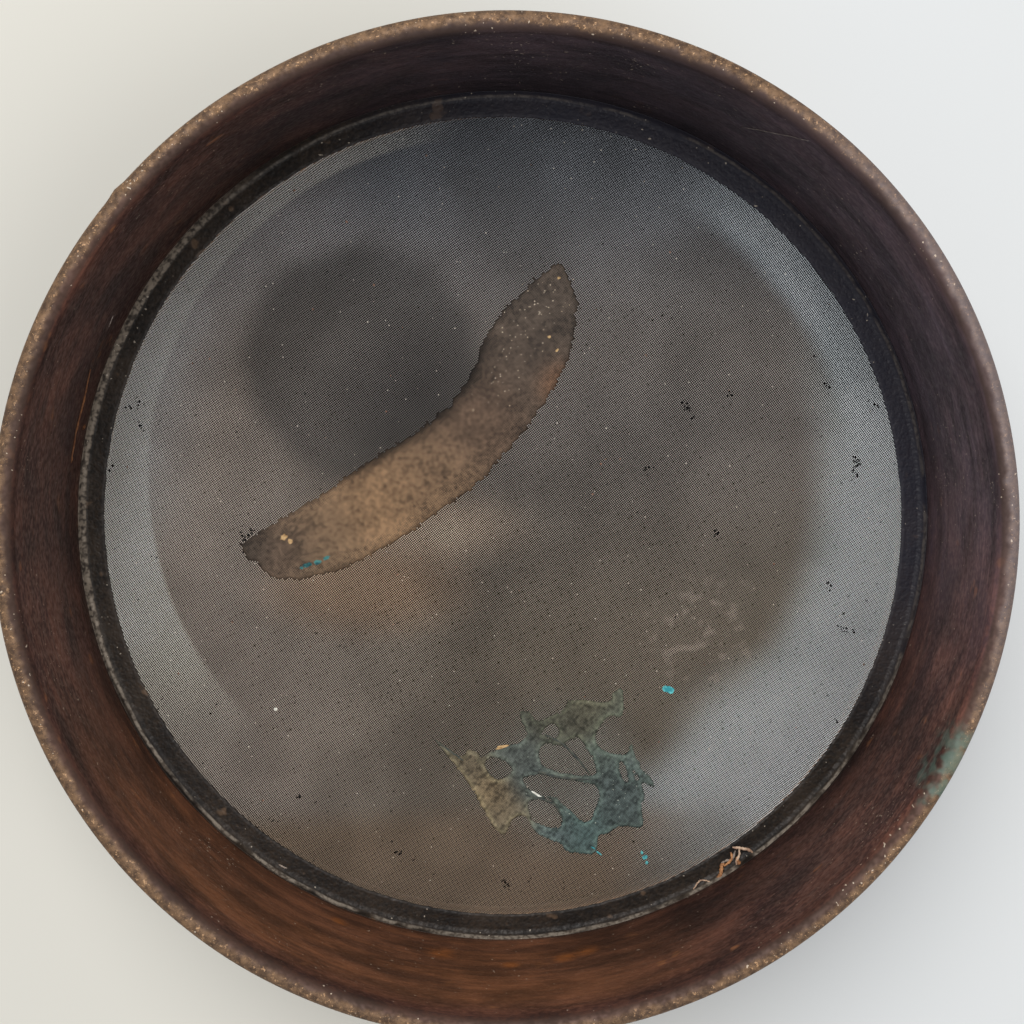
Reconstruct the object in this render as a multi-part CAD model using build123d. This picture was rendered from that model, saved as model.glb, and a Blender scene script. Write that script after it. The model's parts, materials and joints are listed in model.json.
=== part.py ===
from build123d import *
import math
import os

# A laboratory test sieve: spun sheet frame, woven wire cloth, solder fillet and old deposits.
# Millimetres. The origin is the centre of the skirt's lower edge and +Z points out of the mouth.

# Frame
bore_dia = 203.2            # inside of the upper wall, eight inches
sheet = 0.8                 # metal sheet of both frame pieces
total_height = 67.0         # skirt edge to the top of the rim
cloth_depth = 50.0          # top of the rim to the upper face of the cloth
bead_dia = 4.4              # rolled rim, outside
bead_gap = 0.3              # between the curl's free edge and the wall
nest_clearance = 0.3        # radial, skirt to the mouth of the next sieve
wall_lap = 3.6              # upper wall below the cloth's underside
seat_step = 0.6             # the wall's foot and the skirt's head are swaged out by this
solder_gap = 0.3            # radial, between the skirt's head and the wall's foot
ledge_width = 5.9           # flange that carries the cloth, from the skirt's outer face
bend_radius = 0.5           # inside of the bend between skirt and ledge
lead_height = 3.0           # tapered foot that starts the skirt in the next sieve
lead_in = 0.6               # how far the foot tapers inwards

# Wire cloth: one bar with its ridge stands for three dozen wires
wire_dia = 0.18
weave_angle = 36.9          # warp direction from +X, degrees
cloth_wall = 0.12           # solid wall between the two layers of ridges
bar_pitch = 15.9            # from the middle of one bar to the next
ridge_width = 2.4
gap_side = 11.0
gap_margin = 1.0            # from a gap to the solder's inner edge

# Solder
solder_cover = 0.35         # thickness over the cloth's edge
solder_fillet = 1.8         # height and width of the fillet up the wall
fillet_radius = 2.6
solder_lip = 0.5            # bevel at the inner edge

# Deposits
film_thickness = 0.15
crust_thickness = 0.4

bore_r = bore_dia / 2
wall_r = bore_r + sheet
skirt_r = bore_r - nest_clearance
seat_r = bore_r + seat_step
cloth_r = seat_r - solder_gap
view_r = cloth_r - ledge_width
cloth_top = total_height - cloth_depth
cloth_under = cloth_top - 2 * wire_dia
solder_top = cloth_top + solder_cover + solder_fillet
shell_bottom = cloth_under - wall_lap


def spin(edges):
    """Close a section drawn as (radius, height) and turn it about the axis."""
    return revolve(Plane.XZ * make_face(Curve() + edges), axis=Axis.Z)


def make_shell():
    bead_r = bead_dia / 2
    centre = (bore_r + bead_r, total_height - bead_r)
    # The curl turns over the top and stops where its free edge is bead_gap from the wall.
    curl = 180 + math.degrees(math.acos((wall_r + bead_gap - centre[0]) / bead_r))
    outside = CenterArc(centre, bead_r, 180, -curl)
    inside = CenterArc(centre, bead_r - sheet, 180 - curl, curl)
    free_edge = Line(outside @ 1, inside @ 0)
    # The swaged foot starts behind the head of the solder fillet.
    wall = Polyline(
        inside @ 1,
        (wall_r, solder_top),
        (seat_r + sheet, solder_top - seat_step),
        (seat_r + sheet, shell_bottom),
        (seat_r, shell_bottom),
        (seat_r, solder_top - seat_step),
        (bore_r, solder_top),
        outside @ 0,
    )
    return spin([outside, free_edge, inside, wall])


def make_skirt_ring():
    outer_bend = bend_radius + sheet
    centre = (cloth_r - outer_bend, cloth_under - outer_bend)
    head_step = cloth_r - skirt_r
    outside = CenterArc(centre, outer_bend, 0, 90)
    inside = CenterArc(centre, bend_radius, 90, -90)
    ledge = Polyline(outside @ 1, (view_r, cloth_under), (view_r, cloth_under - sheet), inside @ 0)
    skirt = Polyline(
        inside @ 1,
        (cloth_r - sheet, shell_bottom),
        (skirt_r - sheet, shell_bottom - head_step),
        (skirt_r - sheet, lead_height),
        (skirt_r - sheet - lead_in, 0),
        (skirt_r - lead_in, 0),
        (skirt_r, lead_height),
        (skirt_r, shell_bottom - head_step),
        (cloth_r, shell_bottom),
        outside @ 0,
    )
    return spin([outside, ledge, inside, skirt])


def ridge_layer(angle, low, high):
    """Parallel ridges, each as long as the round cloth leaves room for."""
    count = math.floor((cloth_r - ridge_width / 2) / bar_pitch - 0.5)
    ridges = Sketch()
    for index in range(-count - 1, count + 1):
        offset = (index + 0.5) * bar_pitch
        length = 2 * math.sqrt(cloth_r**2 - (abs(offset) + ridge_width / 2) ** 2)
        ridges += Pos(0, offset) * Rectangle(length, ridge_width)
    return Pos(0, 0, low) * Rot(0, 0, angle) * extrude(ridges, high - low)


def make_wire_cloth():
    middle = (cloth_top + cloth_under) / 2
    reach = view_r - gap_margin - gap_side / math.sqrt(2)
    count = math.floor(reach / bar_pitch)
    places = []
    for column in range(-count, count + 1):
        for row in range(-count, count + 1):
            if math.hypot(column, row) * bar_pitch <= reach:
                places.append((column * bar_pitch, row * bar_pitch))
    wall = Circle(cloth_r) - Rot(0, 0, weave_angle) * Locations(*places) * Rectangle(gap_side, gap_side)
    cloth = Pos(0, 0, middle - cloth_wall / 2) * extrude(wall, cloth_wall)
    cloth += ridge_layer(weave_angle, middle + cloth_wall / 2, cloth_top)
    cloth += ridge_layer(weave_angle + 90, cloth_under, middle - cloth_wall / 2)
    return cloth


def make_solder_ring():
    cover_top = cloth_top + solder_cover
    fillet_foot = (bore_r - solder_fillet, cover_top)
    fillet_head = (bore_r, solder_top)
    fillet_arc = RadiusArc(fillet_foot, fillet_head, fillet_radius)
    rest = Polyline(
        fillet_head,
        (seat_r, solder_top - seat_step),
        (seat_r, shell_bottom),
        (cloth_r, shell_bottom),
        (cloth_r, cloth_top),
        (view_r, cloth_top),
        (view_r, cloth_top + solder_cover / 2),
        (view_r + solder_lip, cover_top),
        fillet_foot,
    )
    return spin([fillet_arc, rest])


def on_cloth(points):
    """Places given as shares of the visible cloth's radius."""
    return [(view_r * x, view_r * y) for x, y in points]


def make_residue_film():
    outline = on_cloth([
        (0.13, 0.64), (0.17, 0.52), (0.13, 0.36), (-0.03, 0.14), (-0.25, -0.03), (-0.48, -0.14),
        (-0.59, -0.13), (-0.655, -0.07), (-0.57, 0.0), (-0.36, 0.13), (-0.15, 0.28), (-0.04, 0.46),
    ])
    film = make_face(Spline(*outline, periodic=True))
    return Pos(0, 0, cloth_top) * extrude(film, film_thickness)


def make_verdigris_crust():
    outline = on_cloth([
        (0.297, -0.427), (0.293, -0.492), (0.24, -0.52), (0.235, -0.57), (0.3, -0.6), (0.32, -0.56),
        (0.372, -0.665), (0.35, -0.77), (0.24, -0.8), (0.225, -0.85), (0.16, -0.84), (0.07, -0.79),
        (0.035, -0.755), (-0.01, -0.79), (-0.05, -0.74), (-0.115, -0.635), (-0.175, -0.555),
        (-0.1, -0.59), (-0.03, -0.59), (0.04, -0.56), (0.035, -0.485), (0.09, -0.5), (0.16, -0.452),
        (0.26, -0.455),
    ])
    upper_hole = on_cloth([
        (0.105, -0.565), (0.16, -0.55), (0.205, -0.57), (0.228, -0.62), (0.21, -0.648), (0.15, -0.64), (0.1, -0.625),
    ])
    middle_hole = on_cloth([
        (0.06, -0.66), (0.13, -0.665), (0.2, -0.667), (0.232, -0.7), (0.22, -0.755), (0.185, -0.76), (0.15, -0.725),
        (0.1, -0.698),
    ])
    lower_hole = on_cloth([(0.06, -0.72), (0.11, -0.722), (0.14, -0.755), (0.13, -0.782), (0.08, -0.772)])
    left_hole = on_cloth([(-0.05, -0.608), (0.0, -0.612), (0.012, -0.632), (-0.005, -0.655), (-0.035, -0.648)])
    crust = make_face(Polyline(*outline, close=True))
    for hole in (upper_hole, middle_hole, lower_hole, left_hole):
        crust -= make_face(Polyline(*hole, close=True))
    return Pos(0, 0, cloth_top) * extrude(crust, crust_thickness)


os.makedirs("parts", exist_ok=True)
export_step(make_shell(), "parts/shell.step")
export_step(make_skirt_ring(), "parts/skirt_ring.step")
export_step(make_wire_cloth(), "parts/wire_cloth.step")
export_step(make_solder_ring(), "parts/solder_ring.step")
export_step(make_residue_film(), "parts/residue_film.step")
export_step(make_verdigris_crust(), "parts/verdigris_crust.step")
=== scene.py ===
import json
import math

import bpy
import numpy as np
from mathutils import Matrix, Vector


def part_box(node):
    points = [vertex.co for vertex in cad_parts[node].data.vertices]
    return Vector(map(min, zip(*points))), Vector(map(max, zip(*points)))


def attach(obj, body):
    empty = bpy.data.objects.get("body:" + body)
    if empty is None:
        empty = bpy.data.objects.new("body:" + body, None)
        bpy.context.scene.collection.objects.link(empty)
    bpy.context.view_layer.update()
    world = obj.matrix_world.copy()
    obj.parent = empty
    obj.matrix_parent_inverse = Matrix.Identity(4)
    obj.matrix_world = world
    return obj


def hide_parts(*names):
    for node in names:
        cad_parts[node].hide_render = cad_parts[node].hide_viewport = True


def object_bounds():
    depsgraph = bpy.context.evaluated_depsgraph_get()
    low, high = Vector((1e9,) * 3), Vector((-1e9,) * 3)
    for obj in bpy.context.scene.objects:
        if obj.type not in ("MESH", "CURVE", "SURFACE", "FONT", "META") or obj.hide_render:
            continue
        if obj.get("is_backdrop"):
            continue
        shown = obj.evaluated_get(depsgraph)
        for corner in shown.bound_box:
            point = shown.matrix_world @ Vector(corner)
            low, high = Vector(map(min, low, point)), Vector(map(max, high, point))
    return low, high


# Looks of an old laboratory test sieve, in metres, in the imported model's own frame.

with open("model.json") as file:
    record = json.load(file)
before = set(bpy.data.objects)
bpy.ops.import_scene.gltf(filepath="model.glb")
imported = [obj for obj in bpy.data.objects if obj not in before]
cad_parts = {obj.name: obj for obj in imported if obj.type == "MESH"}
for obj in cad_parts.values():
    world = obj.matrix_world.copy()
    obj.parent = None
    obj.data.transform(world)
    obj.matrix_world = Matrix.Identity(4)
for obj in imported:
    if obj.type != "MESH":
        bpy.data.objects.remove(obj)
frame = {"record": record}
cadBounds = [list(corner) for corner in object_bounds()]

mm = 0.001
mounts = {mount["name"]: mount for mount in frame["record"]["mounts"]}
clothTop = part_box("wire_cloth")[1].z
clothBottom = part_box("wire_cloth")[0].z
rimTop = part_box("shell")[1].z
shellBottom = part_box("shell")[0].z
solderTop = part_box("solder_ring")[1].z
boreR = mounts["mouth_bore"]["dims"]["r_mm"] * mm
skirtR = mounts["skirt_spigot"]["dims"]["r_mm"] * mm
sheet = 0.8 * mm                               # thickness of both spun pieces
seatStep = 0.6 * mm                            # the wall's foot and the skirt's head are swaged out by this
solderGap = 0.3 * mm                           # between the skirt's head and the wall's foot
ledgeWidth = 5.9 * mm                          # the flange that carries the cloth
seatR = boreR + seatStep
clothR = seatR - solderGap
viewR = clothR - ledgeWidth

print("frame: cloth at", round(clothTop / mm, 2), "mm, rim at", round(rimTop / mm, 2), "mm")


# Meshes

def meshFrom(name, points, faces, smooth=True):
    # faces is an array of equal polygons, one row each
    mesh = bpy.data.meshes.new(name)
    count, corners = faces.shape
    mesh.vertices.add(len(points))
    mesh.vertices.foreach_set("co", points.astype(np.float32).ravel())
    mesh.loops.add(count * corners)
    mesh.loops.foreach_set("vertex_index", faces.astype(np.int32).ravel())
    mesh.polygons.add(count)
    mesh.polygons.foreach_set("loop_start", np.arange(0, count * corners, corners, dtype=np.int32))
    mesh.polygons.foreach_set("use_smooth", np.full(count, smooth))
    mesh.update(calc_edges=True)
    piece = bpy.data.objects.new(name, mesh)
    bpy.context.scene.collection.objects.link(piece)
    return piece


def gridFaces(rows, cols, closeRows, closeCols):
    # Quads of a grid whose points are numbered row by row; a closed direction wraps round
    i, j = np.meshgrid(np.arange(rows if closeRows else rows - 1),
                       np.arange(cols if closeCols else cols - 1), indexing="ij")
    down, right = (i + 1) % rows, (j + 1) % cols
    quads = np.stack([i * cols + j, i * cols + right, down * cols + right, down * cols + j], -1)
    return quads.reshape(-1, 4)


def settle(piece, material, slotName, *nodes):
    piece.data.materials.clear()
    piece.data.materials.append(material)
    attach(piece, "root")
    if nodes:
        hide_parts(*nodes)


def spread(stops, steps):
    # Points along straight runs between the stops, the last stop left out
    parts = []
    for start, end, count in zip(stops[:-1], stops[1:], steps):
        share = np.linspace(0, 1, count, endpoint=False)[:, None]
        parts.append(np.array(start) * (1 - share) + np.array(end) * share)
    return np.concatenate(parts)


def arc(centre, radius, start, end, count):
    # Circle points from one angle to another, both ends included, angles in degrees
    angle = np.radians(np.linspace(start, end, count))
    return np.stack([centre[0] + radius * np.cos(angle), centre[1] + radius * np.sin(angle)], -1)


def lathe(name, profile, count, shape):
    # The closed section (radius, height) is turned about Z; shape moves each point by its
    # radius, height and angle. The section runs anticlockwise, so the faces look outwards
    angle = np.linspace(0, 2 * math.pi, count, endpoint=False)
    radius, height = shape(profile[:, :1], profile[:, 1:], angle[None, :])
    points = np.stack([radius * np.cos(angle), radius * np.sin(angle), height + 0 * angle], -1)
    return meshFrom(name, points.reshape(-1, 3), gridFaces(len(profile), count, True, True))


def ripple(angle, height, terms, seed):
    # Smooth unevenness: a few waves round the axis, each with its own lean, from -1 to 1
    draw = np.random.default_rng(seed)
    total = 0 * (angle + height)
    for waves in terms:
        lean, phase, size = draw.uniform(-60, 60), draw.uniform(0, 2 * math.pi), draw.uniform(0.4, 1)
        total = total + size * np.sin(waves * angle + lean * height + phase)
    return total / len(terms)


def smoothLoop(points, steps=6):
    # Closed curve through the points, each span a cubic led by its neighbours
    p = np.array(points, float) * mm
    before, after, later = np.roll(p, 1, 0), np.roll(p, -1, 0), np.roll(p, -2, 0)
    t = np.linspace(0, 1, steps, endpoint=False)[:, None, None]
    curve = 0.5 * (2 * p + (after - before) * t + (2 * before - 5 * p + 4 * after - later) * t ** 2
                   + (3 * p - before - 3 * after + later) * t ** 3)
    return curve.transpose(1, 0, 2).reshape(-1, 2)


def outlineDepth(points, loops):
    # Distance to the nearest outline, positive inside the material, and the way to that outline
    start = np.concatenate(loops)
    edge = np.concatenate([np.roll(loop, -1, 0) for loop in loops]) - start
    away = points[:, None] - start
    share = np.clip((away * edge).sum(-1) / (edge ** 2).sum(-1), 0, 1)
    way = share[..., None] * edge - away
    gap = np.linalg.norm(way, axis=-1)
    near = gap.argmin(1)
    x, y = points[:, :1], points[:, 1:]
    crosses = (start[:, 1] > y) != (start[:, 1] + edge[:, 1] > y)
    slope = edge[:, 0] / np.where(np.abs(edge[:, 1]) < 1e-12, 1e-12, edge[:, 1])
    odd = (crosses & (x < start[:, 0] + (y - start[:, 1]) * slope)).sum(1) % 2 == 1
    rows = np.arange(len(points))
    return np.where(odd, 1, -1) * gap[rows, near], way[rows, near]


def rumple(x, y, sizes, seed):
    # Sum of slanted sine waves of the given wavelengths, from about -1 to 1
    draw = np.random.default_rng(seed)
    total = 0 * x
    for size in sizes:
        for turn in draw.uniform(0, math.pi, 3):
            total = total + np.sin(2 * math.pi / size * (x * math.cos(turn) + y * math.sin(turn))
                                   + draw.uniform(0, 6.3))
    return total / (2 * math.sqrt(len(sizes)))


def latticePatch(name, loops, step, rough, top, underside, snap, seed):
    # Weave-sized cells under the outlines: top, underside and side walls as one closed skin.
    # rough breaks up the edge, snap draws the edge's corners onto the outline
    box = np.concatenate(loops)
    reach = int(np.abs(box).max() / (0.44 * mm * step)) + 8
    index = np.arange(-reach, reach + 1) * step
    i, j = np.meshgrid(index, index, indexing="ij")
    points = np.stack(weavePoint(i, j), -1).reshape(-1, 2)
    side = len(index)
    low, high = box.min(0) - 1.5 * mm, box.max(0) + 1.5 * mm
    close = np.flatnonzero(((points > low) & (points < high)).all(1))
    depth, way = np.full(len(points), -1.0), np.zeros_like(points)
    depth[close], way[close] = outlineDepth(points[close], loops)
    ragged = depth + rough * rumple(points[:, 0], points[:, 1], (0.9 * mm, 1.7 * mm, 4.1 * mm), seed)
    ragged = ragged + rough * np.random.default_rng(seed).normal(0, 0.7, len(points))
    ragged = ragged.reshape(side, side)
    cell = (ragged[:-1, :-1] + ragged[1:, :-1] + ragged[1:, 1:] + ragged[:-1, 1:]) > 0
    cells = np.argwhere(cell)
    corner = lambda di, dj: (cells[:, 0] + di) * side + cells[:, 1] + dj
    quads = np.stack([corner(0, 0), corner(1, 0), corner(1, 1), corner(0, 1)], -1)
    walls = []
    padded = np.pad(cell, 1)
    for k, (di, dj) in enumerate(((0, -1), (1, 0), (0, 1), (-1, 0))):
        bare = ~padded[cells[:, 0] + 1 + di, cells[:, 1] + 1 + dj]
        walls.append(np.stack([quads[bare, k], quads[bare, (k + 1) % 4]], -1))
    walls = np.concatenate(walls)
    if snap:
        edge = np.unique(walls)
        edge = edge[np.abs(depth[edge]) < snap]
        points[edge] += 0.9 * way[edge]
        depth[edge] *= 0.1
    used, quads = np.unique(quads, return_inverse=True)
    quads = quads.reshape(-1, 4)
    walls = np.searchsorted(used, walls)
    x, y, count = points[used, 0], points[used, 1], len(used)
    crust = np.stack([x, y, top(x, y, depth[used])], -1)
    under = np.stack([x, y, 0 * x + underside], -1)
    a, b = walls[:, 0], walls[:, 1]
    sides = np.stack([a + count, b + count, b, a], -1)
    piece = meshFrom(name, np.concatenate([crust, under]),
                     np.concatenate([quads, quads[:, ::-1] + count, sides]))
    return piece, np.tile(x, 2), np.tile(y, 2), np.tile(depth[used], 2)


def keepValue(piece, name, values):
    piece.data.attributes.new(name, "FLOAT", "POINT").data.foreach_set("value", values.astype(np.float32))


def keepColors(piece, name, colors):
    data = piece.data.attributes.new(name, "FLOAT_COLOR", "POINT").data
    data.foreach_set("color", colors.astype(np.float32).ravel())


def zoneColors(x, y, base, zones):
    # Soft round zones of colour: (centre x, centre y, radius, colour), weighed by a bell curve
    total = np.array(base)[None] * 0.15
    weight = 0.15
    for cx, cy, radius, color in zones:
        bell = np.exp(-((x - cx * mm) ** 2 + (y - cy * mm) ** 2) / (radius * mm) ** 2)[:, None]
        total = total + bell * np.array(color)[None]
        weight = weight + bell
    return total / weight


def lumps(name, places, sizes, seed):
    # Eight-sided grains, each with its own turn and proportions
    draw = np.random.default_rng(seed)
    count = len(places)
    corners = np.array([[1, 0, 0], [0, 1, 0], [-1, 0, 0], [0, -1, 0], [0, 0, 1], [0, 0, -1]], float)
    shape = corners[None] * sizes[:, None] * draw.uniform(0.7, 1.25, (count, 6, 1))
    turn = draw.uniform(0, 2 * math.pi, (count, 1))
    x = shape[..., 0] * np.cos(turn) - shape[..., 1] * np.sin(turn)
    y = shape[..., 0] * np.sin(turn) + shape[..., 1] * np.cos(turn)
    points = np.stack([x, y, shape[..., 2]], -1) + places[:, None]
    single = np.array([[0, 1, 4], [1, 2, 4], [2, 3, 4], [3, 0, 4], [1, 0, 5], [2, 1, 5], [3, 2, 5], [0, 3, 5]])
    faces = (single[None] + (np.arange(count) * 6)[:, None, None]).reshape(-1, 3)
    return meshFrom(name, points.reshape(-1, 3), faces, smooth=False)


def chips(name, items, seed):
    # Flat flakes: (centre x, centre y, length, width, turn in degrees, low, high), ragged fans
    draw = np.random.default_rng(seed)
    sides, allPoints, allFaces = 11, [], []
    ring = np.arange(sides)
    for k, (cx, cy, length, width, turn, low, high) in enumerate(items):
        angle = 2 * math.pi * ring / sides
        reach = draw.uniform(0.62, 1.1, sides)
        x, y = reach * np.cos(angle) * length / 2, reach * np.sin(angle) * width / 2
        c, s = math.cos(math.radians(turn)), math.sin(math.radians(turn))
        x, y = cx + x * c - y * s, cy + x * s + y * c
        upper = np.stack([x, y, low + (high - low) * draw.uniform(0.4, 0.8, sides)], -1)
        lower = np.stack([x, y, 0 * x + low], -1)
        allPoints.append(np.concatenate([upper, lower, [[cx, cy, high], [cx, cy, low]]]) * mm)
        after = (ring + 1) % sides
        fans = np.concatenate([
            np.stack([ring, after, 0 * ring + 2 * sides], -1),
            np.stack([after + sides, ring + sides, 0 * ring + 2 * sides + 1], -1),
            np.stack([ring + sides, after + sides, after], -1),
            np.stack([ring + sides, after, ring], -1)])
        allFaces.append(fans + k * (2 * sides + 2))
    return meshFrom(name, np.concatenate(allPoints), np.concatenate(allFaces), smooth=False)


def strands(name, paths, seed):
    # Fibres: a six-sided ring of changing radius is carried along each smoothed path
    draw = np.random.default_rng(seed)
    allPoints, allFaces, total, sides = [], [], 0, 6
    ring = np.arange(sides) * math.pi / 3
    for stops, radius in paths:
        stops = np.array(stops, float)
        count = 6 * (len(stops) - 1) + 1
        t = np.linspace(0, len(stops) - 1, count)
        line = np.stack([np.interp(t, np.arange(len(stops)), stops[:, k]) for k in range(3)], -1)
        for _ in range(4):
            line[1:-1] = (line[:-2] + 2 * line[1:-1] + line[2:]) / 4
        line[1:-1, :2] += draw.normal(0, 0.05, (count - 2, 2))
        ahead = np.gradient(line, axis=0)
        ahead /= np.linalg.norm(ahead, axis=1)[:, None]
        across = np.cross(ahead, [0.0, 0.0, 1.0])
        across /= np.linalg.norm(across, axis=1)[:, None]
        over = np.cross(across, ahead)
        taper = np.sin(math.pi * np.linspace(0.12, 0.88, count)) ** 0.5
        thick = radius * draw.uniform(0.75, 1.2, count) * taper
        tube = line[:, None] + thick[:, None, None] * (np.cos(ring)[None, :, None] * across[:, None]
                                                       + np.sin(ring)[None, :, None] * over[:, None])
        allPoints.append(tube.reshape(-1, 3) * mm)
        body = gridFaces(count, sides, False, True)[:, ::-1]
        cap = np.array([[0, 1, 2, 3], [0, 3, 4, 5]])
        allFaces.append(np.concatenate([body, cap, cap[:, ::-1] + (count - 1) * sides]) + total)
        total += count * sides
    return meshFrom(name, np.concatenate(allPoints), np.concatenate(allFaces))


# Node materials

def srgb(red, green, blue):
    # Screen values from 0 to 255 made linear
    value = np.array([red, green, blue]) / 255
    linear = np.where(value <= 0.04045, value / 12.92, ((value + 0.055) / 1.055) ** 2.4)
    return (*linear.tolist(), 1.0)


def place(tree, kind, sockets=None, **settings):
    # One node; sockets gives a value or an output to link for each input, by name or number
    node = tree.nodes.new(kind)
    for key, value in settings.items():
        setattr(node, key, value)
    for key, value in (sockets or {}).items():
        if isinstance(value, bpy.types.NodeSocket):
            tree.links.new(value, node.inputs[key])
        else:
            node.inputs[key].default_value = value
    return node


def calc(tree, operation, first, second=0.0):
    return place(tree, "ShaderNodeMath", {0: first, 1: second}, operation=operation).outputs[0]


def times(tree, first, second):
    return calc(tree, "MULTIPLY", first, second)


def plus(tree, first, second):
    return calc(tree, "ADD", first, second)


def vector(tree, operation, first, second=(0, 0, 0)):
    node = place(tree, "ShaderNodeVectorMath", {0: first, 1: second}, operation=operation)
    return node.outputs["Value" if operation in ("LENGTH", "DISTANCE", "DOT_PRODUCT") else "Vector"]


def scaled(tree, color, amount):
    return place(tree, "ShaderNodeVectorMath", {0: color, "Scale": amount}, operation="SCALE").outputs[0]


def axes(tree, spot):
    return place(tree, "ShaderNodeSeparateXYZ", {0: spot}).outputs


def blend(tree, factor, first, second):
    return place(tree, "ShaderNodeMix", {0: factor, 6: first, 7: second}, data_type="RGBA").outputs[2]


def ramp(tree, value, low, high, toLow=0.0, toHigh=1.0):
    sockets = {"Value": value, "From Min": low, "From Max": high, "To Min": toLow, "To Max": toHigh}
    return place(tree, "ShaderNodeMapRange", sockets, interpolation_type="SMOOTHSTEP").outputs[0]


def noise(tree, spot, scale, detail=3.0, roughness=0.55):
    sockets = {"Vector": spot, "Scale": scale, "Detail": detail, "Roughness": roughness}
    return place(tree, "ShaderNodeTexNoise", sockets).outputs["Fac"]


def stretch(tree, spot, scale, turn=0.0):
    sockets = {"Vector": spot, "Scale": scale, "Rotation": (0, 0, turn)}
    return place(tree, "ShaderNodeMapping", sockets).outputs[0]


def newGroup(name, inputs, outputs):
    tree = bpy.data.node_groups.new(name, "ShaderNodeTree")
    for label, kind, value in inputs:
        socket = tree.interface.new_socket(label, in_out="INPUT", socket_type="NodeSocket" + kind)
        if value is not None:
            socket.default_value = value
    for label, kind in outputs:
        tree.interface.new_socket(label, in_out="OUTPUT", socket_type="NodeSocket" + kind)
    return tree, place(tree, "NodeGroupInput").outputs, place(tree, "NodeGroupOutput").inputs


def useGroup(tree, group, sockets):
    return place(tree, "ShaderNodeGroup", sockets, node_tree=group).outputs


def newMaterial(name, **constants):
    # Constants go straight to the shader's own sockets
    material = bpy.data.materials.new(name)
    material.use_nodes = True
    tree = material.node_tree
    shader = tree.nodes["Principled BSDF"]
    for key, value in constants.items():
        shader.inputs[key.replace("_", " ")].default_value = value
    place3d = place(tree, "ShaderNodeTexCoord").outputs["Object"]
    return material, tree, shader, place3d


def bump(tree, height, distance, strength=1.0):
    sockets = {"Height": height, "Distance": distance, "Strength": strength}
    return place(tree, "ShaderNodeBump", sockets).outputs[0]


def buildDustGroup():
    # Pale specks: the rare peaks of a fine noise, thinned by a patchy one
    tree, source, result = newGroup(
        "settledDust", [("Vector", "Vector", None), ("Scale", "Float", 600.0), ("Amount", "Float", 0.5)],
        [("Mask", "Float")])
    peaks = noise(tree, source["Vector"], source["Scale"], 0.0)
    patches = noise(tree, source["Vector"], 45.0, 1.0, 0.6)
    more = plus(tree, times(tree, patches, 0.3), times(tree, source["Amount"], 0.2))
    level = calc(tree, "SUBTRACT", 1.06, more)
    tree.links.new(ramp(tree, peaks, level, plus(tree, level, 0.04)), result["Mask"])
    return tree


def buildStreakGroup():
    # Spinning marks: noise drawn out along the turning direction, fine and coarse together
    tree, source, result = newGroup(
        "spunStreaks", [("Vector", "Vector", None), ("Fine", "Float", 1.0)],
        [("Mask", "Float"), ("Broad", "Float")])
    fine = noise(tree, stretch(tree, source["Vector"], (14, 14, 900)), source["Fine"], 2.0, 0.65)
    broad = noise(tree, stretch(tree, source["Vector"], (9, 9, 70)), 2.0, 2.0, 0.6)
    tree.links.new(ramp(tree, fine, 0.3, 0.7), result["Mask"])
    tree.links.new(ramp(tree, broad, 0.36, 0.66), result["Broad"])
    return tree


def buildTarnishGroup():
    # Two tones of a tarnished surface with blotches of a third, and the roughness that goes with them
    tree, source, result = newGroup(
        "tarnish",
        [("Vector", "Vector", None), ("Scale", "Float", 40.0), ("Dark", "Color", (0.02, 0.015, 0.013, 1)),
         ("Light", "Color", (0.1, 0.07, 0.05, 1)), ("Blotch", "Color", (0.25, 0.1, 0.03, 1)),
         ("Blotches", "Float", 0.3)],
        [("Color", "Color"), ("Roughness", "Float")])
    clouds = noise(tree, source["Vector"], source["Scale"], 3.0, 0.62)
    grains = noise(tree, source["Vector"], times(tree, source["Scale"], 14.0), 1.0, 0.7)
    tone = ramp(tree, plus(tree, times(tree, clouds, 0.6), times(tree, grains, 0.4)),
                0.36, 0.64)
    spots = noise(tree, source["Vector"], times(tree, source["Scale"], 2.3), 2.0, 0.7)
    level = calc(tree, "SUBTRACT", 0.8, times(tree, source["Blotches"], 0.3))
    blotch = ramp(tree, spots, calc(tree, "SUBTRACT", level, 0.05), plus(tree, level, 0.03))
    base = blend(tree, tone, source["Dark"], source["Light"])
    tree.links.new(blend(tree, blotch, base, source["Blotch"]), result["Color"])
    tree.links.new(ramp(tree, grains, 0.3, 0.7, 0.62, 0.38), result["Roughness"])
    return tree


dustGroup = buildDustGroup()
streakGroup = buildStreakGroup()
tarnishGroup = buildTarnishGroup()
print("groups: dust, streaks and tarnish")


# The camera looks down almost along the axis, slightly from +Y

cameraView = {
    "place": (-6.06 * mm, 17.99 * mm, 349.77 * mm),
    "tiltX": 2.73, "tiltY": 1.31,              # degrees
    "focal": 1384.4 / 1024,                    # focal length in image widths
}


def makeCamera(size):
    turnX = Matrix.Rotation(math.radians(size["tiltX"]), 3, "X")
    turnY = Matrix.Rotation(math.radians(size["tiltY"]), 3, "Y")
    data = bpy.data.cameras.new("camera")
    data.sensor_width = 36.0
    data.lens = 36.0 * size["focal"]
    data.clip_start = 0.01
    camera = bpy.data.objects.new("camera", data)
    camera.matrix_world = Matrix.Translation(size["place"]) @ (turnY @ turnX).transposed().to_4x4()
    bpy.context.scene.collection.objects.link(camera)
    bpy.context.scene.camera = camera


makeCamera(cameraView)


# Floor and light

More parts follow.
